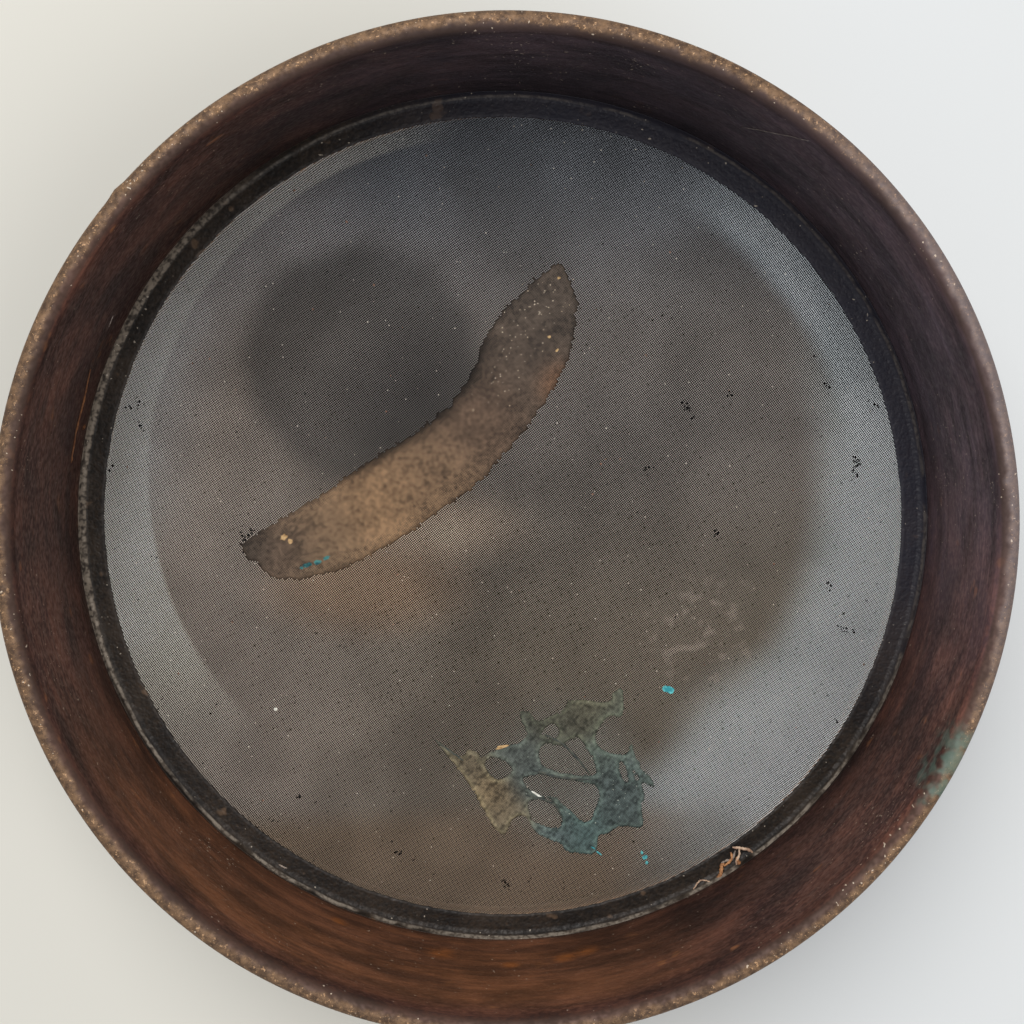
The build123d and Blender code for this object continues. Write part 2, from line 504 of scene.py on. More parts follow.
stageLook = {
    "floorSize": 9.0,
    "floor": srgb(190, 187, 178), "floorRight": srgb(192, 193, 192),
    "paintedShade": srgb(5, 5, 5),                    # painted shade on the floor, hidden under the cloth, where little light gets through
    "sky": srgb(226, 230, 236), "skyStrength": 0.56,
    "keyPlace": (-0.2, 0.52, 1.1), "keySize": 0.9, "keyPower": 15.5,
    "fillPlace": (0.5, -0.3, 1.0), "fillSize": 0.7, "fillPower": 5.0,
}


def makeStage(look):
    half = look["floorSize"] / 2
    corners = np.array([[-half, -half, 0], [half, -half, 0], [half, half, 0], [-half, half, 0]], float)
    floor = meshFrom("floor", corners, np.array([[0, 1, 2, 3]]), smooth=False)
    material, tree, shader, spot = newMaterial("floorPaper", Roughness=0.9, Specular_IOR_Level=0.0)
    flat = stretch(tree, spot, (1, 1, 0))
    reach = vector(tree, "LENGTH", flat)
    # Painted shade: the floor under the skirt is coloured near black
    under = ramp(tree, reach, skirtR - 0.7 * mm, skirtR - 1.0 * mm)
    side = axes(tree, spot)[0]
    paper = blend(tree, ramp(tree, side, -0.05, 0.1), look["floor"], look["floorRight"])
    tree.links.new(blend(tree, under, paper, look["paintedShade"]), shader.inputs["Base Color"])
    floor.data.materials.append(material)
    floor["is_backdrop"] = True

    world = bpy.data.worlds.new("room")
    world.use_nodes = True
    background = world.node_tree.nodes["Background"]
    background.inputs["Color"].default_value = look["sky"]
    background.inputs["Strength"].default_value = look["skyStrength"]
    bpy.context.scene.world = world
    for name in ("key", "fill"):
        lamp = bpy.data.lights.new(name, "AREA")
        lamp.shape = "DISK"
        lamp.size = look[name + "Size"]
        lamp.energy = look[name + "Power"]
        light = bpy.data.objects.new(name, lamp)
        x, y, z = look[name + "Place"]
        light.location = (x, y, z)
        aim = light.location.copy()
        aim.z -= clothTop
        light.rotation_mode = "QUATERNION"
        light.rotation_quaternion = aim.to_track_quat("Z", "Y")
        bpy.context.scene.collection.objects.link(light)
    bpy.context.scene.view_settings.view_transform = "Standard"


makeStage(stageLook)
print("stage: floor, sky and two soft lamps")


# Upper frame

shellSize = {
    "beadR": 2.2 * mm, "beadGap": 0.3 * mm,
    "turns": 640,
    "oval": 0.21 * mm, "ovalAngle": 59,        # the rim is a little out of round
    "waves": 0.09 * mm,                        # hand-straightened dents in the wall
    "nick": 0.45 * mm, "nickAngle": 139, "nickWidth": 0.9,
}


def shellProfile(size):
    # Outer face up, inside of the curl, its free edge, outside of the curl, inner face down
    bead, wallR = size["beadR"], boreR + sheet
    centre = (boreR + bead, rimTop - bead)
    curl = 180 + math.degrees(math.acos((wallR + size["beadGap"] - centre[0]) / bead))
    outer = spread([(seatR + sheet, shellBottom), (seatR + sheet, solderTop - seatStep), (wallR, solderTop),
                    (wallR, centre[1])], [4, 2, 18])
    inside = arc(centre, bead - sheet, 180, 180 - curl, 16)
    outside = arc(centre, bead, 180 - curl, 180, 30)
    inner = spread([(boreR, centre[1]), (boreR, solderTop), (seatR, solderTop - seatStep), (seatR, shellBottom),
                    (seatR + sheet, shellBottom)], [30, 2, 3, 2])
    return np.concatenate([outer, inside, outside, inner[1:]])


def shellShape(radius, height, angle):
    size = shellSize
    rise = np.clip((height - shellBottom) / (rimTop - shellBottom), 0, 1)
    oval = size["oval"] * rise * np.cos(2 * (angle - math.radians(size["ovalAngle"])))
    dents = size["waves"] * rise * ripple(angle, height, (3, 5, 8, 11, 17, 23), 7)
    away = (np.degrees(angle) - size["nickAngle"]) / size["nickWidth"]
    bead = np.clip((radius - boreR - sheet) / size["beadR"], 0, 1)
    nick = size["nick"] * np.exp(-away ** 2) * bead
    return radius + oval + dents + nick, height - 0.5 * nick


def wayOut(tree, spot):
    # The way from the axis to a point, one long and level, and the distance
    flat = vector(tree, "MULTIPLY", spot, (1, 1, 0))
    unit = vector(tree, "NORMALIZE", flat)
    return unit, vector(tree, "LENGTH", flat)


def facing(tree, unit, x, y, low, high):
    # How far that way leans towards (x, y), from 0 to 1
    lean = vector(tree, "DOT_PRODUCT", unit, (x, y, 0))
    return ramp(tree, lean, low, high)


def nearSpots(tree, spot, places):
    # 1 at any of the places, 0 away from all; each is x, y, z and reach in millimetres
    total = 0.0
    for x, y, z, reach in places:
        gap = vector(tree, "DISTANCE", spot, (x * mm, y * mm, z * mm))
        total = calc(tree, "MAXIMUM", ramp(tree, gap, reach * mm, 0.2 * reach * mm), total)
    return total


shellLook = {
    "dark": srgb(60, 34, 29), "light": srgb(106, 67, 53), "blotch": srgb(138, 89, 58),
    "warm": srgb(144, 94, 60), "cool": srgb(87, 78, 88), "streak": srgb(40, 25, 24),
    "flecks": srgb(130, 80, 44), "rusty": srgb(168, 98, 42), "turned": srgb(62, 45, 35),
    "green": srgb(70, 98, 86), "dust": srgb(198, 180, 158),
    "rimDark": srgb(66, 48, 35), "rimLight": srgb(122, 94, 68), "rimBlotch": srgb(166, 131, 96),
    "rimCoolReflection": srgb(115, 105, 107),
    "greenAngle": -0.48,                       # radians, where the verdigris runs down
    "rustyPlaces": [(-15.5, -100.4, 30.6, 5.0), (0.8, -101.6, 35.8, 3.2), (13.6, -100.7, 33.6, 4.0),
                    (18.4, -99.9, 31.4, 4.6), (-39.1, -93.8, 27.9, 3.0)],
}


def shellMaterial():
    look = shellLook
    material, tree, shader, spot = newMaterial("tarnishedBrass", IOR=1.5)
    axis = axes(tree, spot)
    unit, reach = wayOut(tree, spot)
    streaks = useGroup(tree, streakGroup, {"Vector": spot, "Fine": 1.0})
    wall = useGroup(tree, tarnishGroup, {
        "Vector": stretch(tree, spot, (1, 1, 1.6)), "Scale": 48.0, "Dark": look["dark"],
        "Light": look["light"], "Blotch": look["blotch"], "Blotches": 0.3})
    # Painted light: the lower wall, which faces the lamp, is blended towards a brighter warm tone and only
    # there gets the pale flecks
    lower = times(tree, facing(tree, unit, -0.36, -0.93, 0.6, 0.95),
                  ramp(tree, axis[2], rimTop - 2 * mm, rimTop - 12 * mm))
    tone = blend(tree, times(tree, lower, 0.5), wall["Color"], look["warm"])
    tone = blend(tree, times(tree, facing(tree, unit, 0.64, 0.77, 0.2, 0.85), 0.72), tone, look["cool"])
    tone = blend(tree, times(tree, streaks["Mask"], 0.4), tone, look["streak"])
    tone = blend(tree, times(tree, streaks["Broad"], times(tree, lower, 0.28)), tone, look["flecks"])

    # Rubbed patches, and painted shade darkening the wall towards the solder except at the bottom, where
    # painted light keeps it bright; the top side gets painted shade and the right side painted light
    patch = noise(tree, stretch(tree, spot, (55, 55, 150)), 1.0, 3.0, 0.72)
    paintedShading = ramp(tree, axis[2], solderTop, rimTop - 6 * mm, 0.62, 1.12)
    paintedShading = calc(tree, "MAXIMUM", paintedShading, times(tree, lower, 1.02))
    sides = plus(tree, times(tree, facing(tree, unit, -0.17, 0.98, 0.5, 0.95), -0.55),
                 facing(tree, unit, 0.98, 0.17, 0.45, 1.0))
    paintedShading = times(tree, paintedShading, plus(tree, 1.0, times(tree, sides, 0.5)))
    tone = scaled(tree, tone, times(tree, paintedShading, ramp(tree, patch, 0.3, 0.72, 0.62, 1.55)))
    rusty = times(tree, nearSpots(tree, spot, look["rustyPlaces"]), ramp(tree, patch, 0.34, 0.6, 0.1, 0.75))
    tone = blend(tree, rusty, tone, look["rusty"])

    # The rolled rim is rubbed to a speckled tan on its crown, with a painted cool reflection on the right
    rim = useGroup(tree, tarnishGroup, {
        "Vector": spot, "Scale": 620.0, "Dark": look["rimDark"],
        "Light": look["rimLight"], "Blotch": look["rimBlotch"], "Blotches": 0.5})
    rightReflection = times(tree, facing(tree, unit, 0.96, 0.28, 0.7, 1.0), 0.6)
    rimTone = blend(tree, rightReflection, rim["Color"], look["rimCoolReflection"])
    rub = plus(tree, reach, times(tree, noise(tree, spot, 150.0, 2.0, 0.7), 2.6 * mm))
    high = ramp(tree, axis[2], rimTop - 4 * mm, rimTop - 2 * mm)
    turned = times(tree, ramp(tree, reach, boreR - 0.3 * mm, boreR + 0.6 * mm), high)
    onRim = times(tree, ramp(tree, rub, boreR + 2.2 * mm, boreR + 3.6 * mm), high)
    body = blend(tree, times(tree, turned, 0.8), tone, look["turned"])
    body = blend(tree, onRim, body, rimTone)

    # Verdigris running down from the rim on one side
    angle = calc(tree, "ARCTAN2", axis[1], axis[0])
    bend = noise(tree, spot, 260.0, 2.0)
    wavy = times(tree, calc(tree, "SUBTRACT", bend, 0.5), 0.12)
    aside = calc(tree, "ABSOLUTE", plus(tree, plus(tree, angle, -look["greenAngle"]), wavy))
    upper = ramp(tree, axis[2], rimTop - 12 * mm, rimTop - 5 * mm)
    green = times(tree, times(tree, ramp(tree, aside, 0.1, 0.06), upper), ramp(tree, bend, 0.38, 0.6))
    body = blend(tree, times(tree, green, 0.6), body, look["green"])

    dust = useGroup(tree, dustGroup, {"Vector": spot, "Scale": 1500.0, "Amount": 0.42})["Mask"]
    tree.links.new(blend(tree, times(tree, dust, 0.6), body, look["dust"]), shader.inputs["Base Color"])
    tree.links.new(plus(tree, wall["Roughness"], times(tree, high, 0.2)), shader.inputs["Roughness"])
    metal = calc(tree, "SUBTRACT", 0.4, times(tree, plus(tree, green, dust), 0.4))
    tree.links.new(metal, shader.inputs["Metallic"])
    grain = noise(tree, stretch(tree, spot, (500, 500, 900)), 1.0, 1.0, 0.7)
    tree.links.new(bump(tree, grain, 0.12 * mm, 0.6), shader.inputs["Normal"])
    return material


shellSkin = lathe("shellSkin", shellProfile(shellSize), shellSize["turns"], shellShape)
settle(shellSkin, shellMaterial(), "shell_metal", "shell")
print("upper frame:", len(shellSkin.data.polygons), "quads")


# Skirt

skirtSize = {"bend": 0.5 * mm, "lead": 3.0 * mm, "leadIn": 0.6 * mm, "waves": 0.05 * mm, "turns": 480}
skirtLook = {"dark": srgb(74, 52, 42), "light": srgb(124, 92, 66), "blotch": srgb(158, 110, 62),
             "streak": srgb(62, 44, 38)}


def skirtProfile(size):
    outerBend = size["bend"] + sheet
    centre = (clothR - outerBend, clothBottom - outerBend)
    headStep = clothR - skirtR
    outside = spread([(skirtR - size["leadIn"], 0), (skirtR, size["lead"]), (skirtR, shellBottom - headStep),
                      (clothR, shellBottom), (clothR, centre[1])], [4, 8, 2, 2])
    ledge = spread([(centre[0], clothBottom), (viewR, clothBottom), (viewR, clothBottom - sheet),
                    (centre[0], clothBottom - sheet)], [5, 2, 5])
    inside = spread([(clothR - sheet, centre[1]), (clothR - sheet, shellBottom),
                     (skirtR - sheet, shellBottom - headStep), (skirtR - sheet, size["lead"]),
                     (skirtR - sheet - size["leadIn"], 0), (skirtR - size["leadIn"], 0)], [2, 2, 8, 4, 2])
    return np.concatenate([outside, arc(centre, outerBend, 0, 90, 7), ledge[1:],
                           arc(centre, size["bend"], 90, 0, 6), inside[1:]])


def skirtShape(radius, height, angle):
    return radius + skirtSize["waves"] * ripple(angle, height, (4, 7, 12), 21), height


def skirtMaterial():
    look = skirtLook
    material, tree, shader, spot = newMaterial("skirtBrass", IOR=1.5)
    streaks = useGroup(tree, streakGroup, {"Vector": spot, "Fine": 1.0})
    base = useGroup(tree, tarnishGroup, {
        "Vector": spot, "Scale": 60.0, "Dark": look["dark"], "Light": look["light"], "Blotch": look["blotch"],
        "Blotches": 0.4})
    color = blend(tree, times(tree, streaks["Mask"], 0.4), base["Color"], look["streak"])
    tree.links.new(color, shader.inputs["Base Color"])
    tree.links.new(base["Roughness"], shader.inputs["Roughness"])
    tree.links.new(ramp(tree, streaks["Broad"], 0.0, 1.0, 0.75, 0.5), shader.inputs["Metallic"])
    tree.links.new(bump(tree, streaks["Mask"], 0.06 * mm, 0.5), shader.inputs["Normal"])
    return material


skirtSkin = lathe("skirtSkin", skirtProfile(skirtSize), skirtSize["turns"], skirtShape)
settle(skirtSkin, skirtMaterial(), "skirt_metal", "skirt_ring")
print("skirt:", len(skirtSkin.data.polygons), "quads")


# Solder

solderSize = {
    "cover": 0.35 * mm, "fillet": 1.8 * mm, "lip": 0.5 * mm, "turns": 900,
    "oval": 0.36 * mm, "ovalAngle": -51,       # the clear opening is a little oval
    "lumps": 0.05 * mm, "wobble": 0.12 * mm, "teeth": 0.16 * mm,
}
solderLook = {
    "dark": srgb(22, 18, 15), "light": srgb(45, 37, 30), "blotch": srgb(76, 60, 46), "cool": srgb(36, 36, 46),
    "ashDark": srgb(46, 40, 35), "ashLight": srgb(112, 101, 89), "lineDark": srgb(84, 75, 66),
    "lineLight": srgb(140, 129, 116), "dust": srgb(170, 158, 142),
    "lineR": 100.55 * mm, "lineHalf": 0.42 * mm, "ashWidth": 0.7 * mm,
}


def solderProfile(size):
    # Leg up, down the hollow fillet, across the cover to the thin inner lip, back under it
    coverTop = clothTop + size["cover"]
    foot = (boreR - size["fillet"], coverTop)
    leg = spread([(seatR, shellBottom), (seatR, solderTop - seatStep), (boreR, solderTop)], [3, 2])
    share = np.linspace(0, 1, 14)[:, None]
    hollow = np.array([boreR, solderTop]) * (1 - share) + np.array(foot) * share
    fillet = hollow + size["fillet"] * np.sin(math.pi * share) * np.array([[0.126, -0.21]])
    cover = spread([foot, (viewR + size["lip"], coverTop), (viewR, clothTop + size["cover"] / 2),
                    (viewR, clothTop), (clothR, clothTop), (clothR, shellBottom), (seatR, shellBottom)],
                   [16, 5, 2, 6, 3, 2])
    return np.concatenate([leg, fillet, cover[1:]])


def solderShape(radius, height, angle):
    size = solderSize
    inner = np.clip((clothR - radius) / (clothR - viewR), 0, 1)
    upper = np.clip((height - clothTop) / size["cover"], 0, 1)
    oval = size["oval"] * inner * np.cos(2 * (angle - math.radians(size["ovalAngle"])))
    wobble = size["wobble"] * inner * ripple(angle, 0 * height, (9, 14, 22, 31, 47), 4)
    wobble = wobble + size["teeth"] * inner ** 4 * ripple(angle, 0 * height, (71, 97, 133, 179, 211), 6)
    free = upper * np.clip((boreR - radius) / (0.4 * mm), 0, 1)
    lumps = size["lumps"] * free * ripple(angle, 30 * radius, (13, 21, 34, 55, 89, 120), 11)
    return radius + oval + wobble, height + lumps


def solderMaterial():
    look = solderLook
    material, tree, shader, spot = newMaterial("oldSolder", IOR=1.5, Specular_IOR_Level=0.16)
    unit, reach = wayOut(tree, spot)
    base = useGroup(tree, tarnishGroup, {
        "Vector": spot, "Scale": 70.0, "Dark": look["dark"], "Light": look["light"],
        "Blotch": look["blotch"], "Blotches": 0.3})
    cool = facing(tree, unit, 0.74, 0.67, 0.2, 0.8)
    blue = blend(tree, times(tree, cool, 0.7), base["Color"], look["cool"])

    # Dust packed in the corner: a wide ashy band on the left, elsewhere one thin broken line
    left = facing(tree, unit, -0.97, 0.24, 0.72, 0.94)
    low = facing(tree, unit, -0.3, -0.95, -0.1, 0.5)
    bend = vector(tree, "DOT_PRODUCT", unit, (0.24, -0.34, 0))
    crumble = noise(tree, spot, 95.0, 2.0, 0.65)
    line = plus(tree, look["lineR"], times(tree, plus(tree, bend, crumble), 0.9 * mm))
    crumbs = ramp(tree, noise(tree, spot, 800.0, 1.0, 0.7), 0.32, 0.62)
    start = calc(tree, "SUBTRACT", line, look["ashWidth"])
    packed = times(tree, ramp(tree, reach, start, plus(tree, start, 0.4 * mm)), left)
    apart = calc(tree, "ABSOLUTE", calc(tree, "SUBTRACT", reach, line))
    thin = times(tree, ramp(tree, apart, look["lineHalf"], 0.1 * mm), ramp(tree, crumble, 0.34, 0.5))
    thin = times(tree, thin, plus(tree, 0.2, times(tree, low, 0.55)))
    ash = blend(tree, crumbs, look["ashDark"], look["ashLight"])
    color = blend(tree, times(tree, packed, 0.9), blue, ash)
    color = blend(tree, thin, color, blend(tree, crumbs, look["lineDark"], look["lineLight"]))
    dust = useGroup(tree, dustGroup, {"Vector": spot, "Scale": 1400.0, "Amount": 0.38})["Mask"]
    color = blend(tree, times(tree, dust, 0.6), color, look["dust"])
    tree.links.new(color, shader.inputs["Base Color"])
    tree.links.new(plus(tree, base["Roughness"], times(tree, packed, 0.3)), shader.inputs["Roughness"])
    tree.links.new(bump(tree, crumbs, 0.1 * mm, 0.6), shader.inputs["Normal"])
    return material


solderSkin = lathe("solderSkin", solderProfile(solderSize), solderSize["turns"], solderShape)
settle(solderSkin, solderMaterial(), "solder", "solder_ring")
print("solder:", len(solderSkin.data.polygons), "quads")


# Wire cloth

weave = {
    "warpAngle": 37.12, "warpPitch": 0.4486 * mm,
    "weftAngle": -52.76, "weftPitch": 0.4437 * mm,
    "wireR": 0.067 * mm,
    "level": 0.16 * mm, "apart": 0.03 * mm,    # the layers' middle below the cloth's top, each layer off it
    "sides": 4, "steps": 46,
    "open": 0.107,                             # the weave opens towards +Y, per metre
    "drift": 0.004 * mm,                       # uneven spacing of single wires
}


def openOut(x, y):
    # The straight lattice drawn out towards +Y: both coordinates grow with y
    grow = 1 / (1 - weave["open"] * y)
    return x * grow, y * grow


def weavePoint(i, j):
    # Lattice place i steps along the warp and j steps across it; whole steps are apertures
    warp, weft = math.radians(weave["warpAngle"]), math.radians(weave["weftAngle"])
    normals = np.array([[-math.sin(warp), math.cos(warp)], [-math.sin(weft), math.cos(weft)]])
    flat = np.stack([j * weave["warpPitch"], i * weave["weftPitch"]], -1) @ np.linalg.inv(normals).T
    return openOut(flat[..., 0], flat[..., 1])


def makeWires(name, angle, pitch, crossPitch, level, seed):
    # Round straight wires side by side; each is a tube of equal rings along its own chord
    draw = np.random.default_rng(seed)
    reach = clothR - 0.3 * mm
    count = int((reach - pitch) / pitch)
    offset = (np.arange(-count, count + 1) + 0.5) * pitch
    offset = offset + draw.normal(0, weave["drift"], len(offset))
    offset = offset[np.abs(offset) < reach * 0.985]
    half = np.sqrt(reach ** 2 - offset ** 2) * 0.985
    along = np.linspace(-1, 1, weave["steps"] + 1)[None, :] * half[:, None]
    turn = math.radians(angle)
    across = offset[:, None] + 0 * along
    x = along * math.cos(turn) - across * math.sin(turn)
    y = along * math.sin(turn) + across * math.cos(turn)
    x, y = openOut(x, y)
    sides = weave["sides"]
    ring = np.radians(np.arange(sides) * 360 / sides)
    side = weave["wireR"] * np.cos(ring)
    lift = weave["wireR"] * np.sin(ring)
    points = np.empty((len(offset), weave["steps"] + 1, sides, 3))
    points[..., 0] = x[..., None] - side * math.sin(turn)
    points[..., 1] = y[..., None] + side * math.cos(turn)
    points[..., 2] = clothTop - weave["level"] + level + lift + 0 * x[..., None]
    perWire = (weave["steps"] + 1) * sides
    tube = gridFaces(weave["steps"] + 1, sides, False, True)
    endCap = np.array([[0, 1, 2, 3]])
    single = np.concatenate([tube, endCap[:, ::-1], endCap + perWire - sides])
    faces = (single[None] + (np.arange(len(offset)) * perWire)[:, None, None]).reshape(-1, 4)
    piece = meshFrom(name, points.reshape(-1, 3), faces)
    keepValue(piece, "crossing", np.repeat((along / crossPitch).ravel(), sides))
    return piece


clothLook = {
    "gain": 2.26,                              # wires only cover about half of the cloth
    # Many of these tones are painted light and shade: a lighter left side and pale bands, a darker top, a dark
    # band at the bottom, a glow in the corner and a round shadow
    "middle": (77, 73, 69), "leftSide": (96, 89, 82), "topSide": (69, 71, 74), "bottomSide": (86, 75, 63),
    "lowSide": (82, 74, 61), "leftBand": (146, 143, 133), "crescent": (132, 137, 136), "roundShadow": (48, 47, 46),
    "scuffs": (126, 116, 106),
    # Middle and radius of the round painted shade
    "shadeX": -4.1 * mm, "shadeY": 9.8 * mm, "shadeR": 81.4 * mm,
    # Middle and radius of a round painted shadow
    "roundShadowX": -34.1 * mm, "roundShadowY": 38.0 * mm, "roundShadowR": 27.5 * mm,
    # Painted light in pale arcs beside the solder: radius in mm where they begin and are full, way x and y,
    # lean, share, tone
    "litArcs": [(70, 90, -0.87, 0.5, 0.76, 0.5, (128, 126, 124)),
             (83, 90, 0.86, 0.51, 0.82, 0.9, (118, 123, 126))],
    # Soft patches: middle x and y, squeeze in x and y, radius at the edge and where full, share, tone, in mm
    # The corner patch is painted light, a glow at the lower right
    "corner": (67, -60, 1, 1, 33, 8, 0.85, (152, 156, 153)),
    "lowMiddle": (14, -62, 1, 1, 24, 10, 0.55, (82, 81, 76)),
    "deep": (-20, 31, 1, 1, 24, 6, 0.4, (36, 34, 34)),
    "smear": (-18, -2, 0.55, 1.3, 17, 2, 0.65, (128, 114, 99)),
    "warm": (-34, -16, 0.6, 1.25, 20, 4, 0.6, (116, 96, 76)),
}


def tint(color):
    linear = np.array(srgb(*color)[:3]) * clothLook["gain"]
    return (*np.clip(linear, 0, 0.9).tolist(), 1.0)


def farness(tree, spot, x, y, squeezeX=1.0, squeezeY=1.0):
    # Distance in the plane from a point, optionally measured in a squeezed frame
    moved = vector(tree, "ADD", spot, (-x, -y, 0))
    return vector(tree, "LENGTH", vector(tree, "MULTIPLY", moved, (squeezeX, squeezeY, 0)))


def softPatch(tree, spot, tone, patch):
    x, y, squeezeX, squeezeY, edge, full, share, color = patch
    gap = farness(tree, spot, x * mm, y * mm, squeezeX, squeezeY)
    return blend(tree, ramp(tree, gap, edge * mm, full * mm, 0.0, share), tone, tint(color))


def buildClothGroup():
    # The cloth's tone over the whole disc, much of it painted light and shade: big soft zones with a few sharp
    # borders
    look = clothLook
    tree, source, result = newGroup("clothTone", [("Vector", "Vector", None)],
                                    [("Color", "Color"), ("Clouds", "Float")])
    spot = source["Vector"]
    axis = axes(tree, spot)
    clouds = noise(tree, spot, 34.0, 2.0, 0.6)
    # Painted light and shade by side: lighter at the left, darker and bluer at the top; browner towards the
    # bottom
    tone = blend(tree, ramp(tree, axis[1], 0.03, -0.035, 0.0, 0.6), tint(look["middle"]), tint(look["lowSide"]))
    tone = blend(tree, ramp(tree, axis[0], 0.01, -0.075), tone, tint(look["leftSide"]))
    upper = ramp(tree, plus(tree, axis[1], times(tree, clouds, 0.016)), 0.045, 0.1)
    tone = blend(tree, upper, tone, tint(look["topSide"]))
    unit, reach = wayOut(tree, spot)
    # Painted light in pale arcs beside the solder
    for start, full, x, y, lean, share, color in look["litArcs"]:
        arcShare = times(tree, ramp(tree, reach, start * mm, full * mm), facing(tree, unit, x, y, lean, 0.97))
        tone = blend(tree, times(tree, arcShare, share), tone, tint(color))

    # Painted light let in past the round edge of a painted shade
    away = vector(tree, "ADD", spot, (-look["shadeX"], -look["shadeY"], 0))
    unit, gap = wayOut(tree, away)
    leftEdge = ramp(tree, gap, look["shadeR"] - 0.8 * mm, look["shadeR"] + 0.8 * mm)
    outsideLeft = times(tree, leftEdge, facing(tree, unit, -0.95, 0.31, 0.35, 0.85))
    rightEdge = ramp(tree, gap, look["shadeR"] - 7 * mm, look["shadeR"] + 8 * mm, 0.0, 0.88)
    outsideRight = times(tree, rightEdge, facing(tree, unit, 0.86, -0.51, 0.45, 1.0))
    tone = blend(tree, times(tree, outsideLeft, 0.68), tone, tint(look["leftBand"]))
    tone = blend(tree, outsideRight, tone, tint(look["crescent"]))
    # Painted light: a glow at the lower right
    tone = softPatch(tree, spot, tone, look["corner"])
    # Painted shade: a dark band along the bottom, weaker towards the right
    bottomShadeLine = plus(tree, axis[1], times(tree, ramp(tree, axis[0], 0.03, -0.05), 4 * mm))
    bottomShadeLine = plus(tree, bottomShadeLine, times(tree, ramp(tree, axis[0], 0.045, 0.085), 12 * mm))
    bottomShadeLine = plus(tree, bottomShadeLine, times(tree, clouds, 3 * mm))
    depth = times(tree, ramp(tree, bottomShadeLine, -63 * mm, -72 * mm), ramp(tree, axis[0], 0.02, 0.055, 1.0, 0.35))
    tone = blend(tree, depth, tone, tint(look["bottomSide"]))
    tone = softPatch(tree, spot, tone, look["lowMiddle"])

    # A round painted shadow, warm smears beside the film and a rubbed place
    gap = plus(tree, farness(tree, spot, look["roundShadowX"], look["roundShadowY"]), times(tree, clouds, 6 * mm))
    roundShadow = ramp(tree, gap, look["roundShadowR"] + 7 * mm, look["roundShadowR"] - 0.5 * mm)
    tone = blend(tree, times(tree, roundShadow, 0.62), tone, tint(look["roundShadow"]))
    for name in ("deep", "smear", "warm"):
        tone = softPatch(tree, spot, tone, look[name])
    scuffs = times(tree, ramp(tree, farness(tree, spot, 0.049, -0.028), 0.02, 0.006),
                   ramp(tree, noise(tree, spot, 240.0, 1.0, 0.7), 0.5, 0.66))
    tone = blend(tree, times(tree, scuffs, 0.4), tone, tint(look["scuffs"]))
    tree.links.new(tone, result["Color"])
    tree.links.new(clouds, result["Clouds"])
    return tree


clothGroup = buildClothGroup()


def wireMaterial(name, level, change):
    material, tree, shader, spot = newMaterial(name, IOR=1.5, Roughness=0.45, Metallic=0.35)
    cloth = useGroup(tree, clothGroup, {"Vector": spot})
    mottle = ramp(tree, cloth["Clouds"], 0.32, 0.68, 1 - change, 1 + change)

    # Painted highlights: knuckles are brighter at every crossing, and each wire's crown is painted lighter than
    # its flanks, which get painted shade
    run = place(tree, "ShaderNodeAttribute", attribute_name="crossing").outputs["Fac"]
    turn = calc(tree, "COSINE", times(tree, run, 2 * math.pi))
    knuckleHighlight = calc(tree, "SUBTRACT", 1.0, times(tree, turn, 0.85))
    height = axes(tree, spot)[2]
    middle = clothTop - weave["level"] + level
    crownHighlight = ramp(tree, height, middle, middle + 0.9 * weave["wireR"], 0.4, 1.6)
    strength = times(tree, times(tree, mottle, knuckleHighlight), crownHighlight)
    lit = scaled(tree, cloth["Color"], strength)
    lit = vector(tree, "MINIMUM", lit, (0.95, 0.95, 0.95))
    tree.links.new(lit, shader.inputs["Base Color"])
    return material


apart = weave["apart"]
warpWires = makeWires("warpWires", weave["warpAngle"], weave["warpPitch"], weave["weftPitch"], apart, 1)
settle(warpWires, wireMaterial("warpWire", apart, 0.16), "wire_cloth", "wire_cloth")
weftWires = makeWires("weftWires", weave["weftAngle"], weave["weftPitch"], weave["warpPitch"], -apart, 2)
settle(weftWires, wireMaterial("weftWire", -apart, 0.2), "wire_cloth")
print("cloth:", len(warpWires.data.polygons) + len(weftWires.data.polygons), "quads")


# Dried film

film = {
    "outline": [(12.7, 61.6), (16.8, 53.2), (16.6, 47.1), (14.1, 36.8), (4.9, 22.1), (-5.5, 10.5), (-13.5, 4.0),
                (-25.7, -4.3), (-36.8, -10.4), (-46.0, -13.2), (-55.1, -14.1), (-59.4, -10.4), (-62.6, -8.5),
                (-62.7, -5.5), (-56.3, -0.9), (-42.8, 7.1), (-34.2, 13.5), (-25.7, 18.4), (-16.5, 25.1),
                (-9.8, 32.5), (-5.5, 42.2), (-1.2, 49.5), (6.1, 56.8)],
    "inner": [(-44.0, 10.5), (-34.2, 13.9), (-25.6, 18.8), (-16.4, 25.6), (-8.4, 35.0), (-5.5, 42.0)],
    "rough": 0.42 * mm, "thick": 0.06 * mm,
    "base": (88, 73, 60),
    "zones": [(10, 52, 11, (62, 54, 47)), (8, 38, 10, (62, 52, 44)), (-6, 22, 10, (73, 57, 45)),
              (-17, 9, 11, (104, 82, 61)), (-30, 3, 10, (122, 95, 68)), (-43, -4, 9, (102, 82, 62)),
              (-53, -7, 6, (78, 64, 53)), (-60, -7, 4, (46, 40, 34)), (13, 33, 4, (112, 78, 54))],
}


def lineDistance(x, y, stops):
    # Distance from points to an open run of segments
    line = np.array(stops) * mm
    start, edge = line[:-1], line[1:] - line[:-1]
    away = np.stack([x, y], -1)[:, None] - start
    share = np.clip((away * edge).sum(-1) / (edge ** 2).sum(-1), 0, 1)
    return np.linalg.norm(away - share[..., None] * edge, axis=-1).min(1)


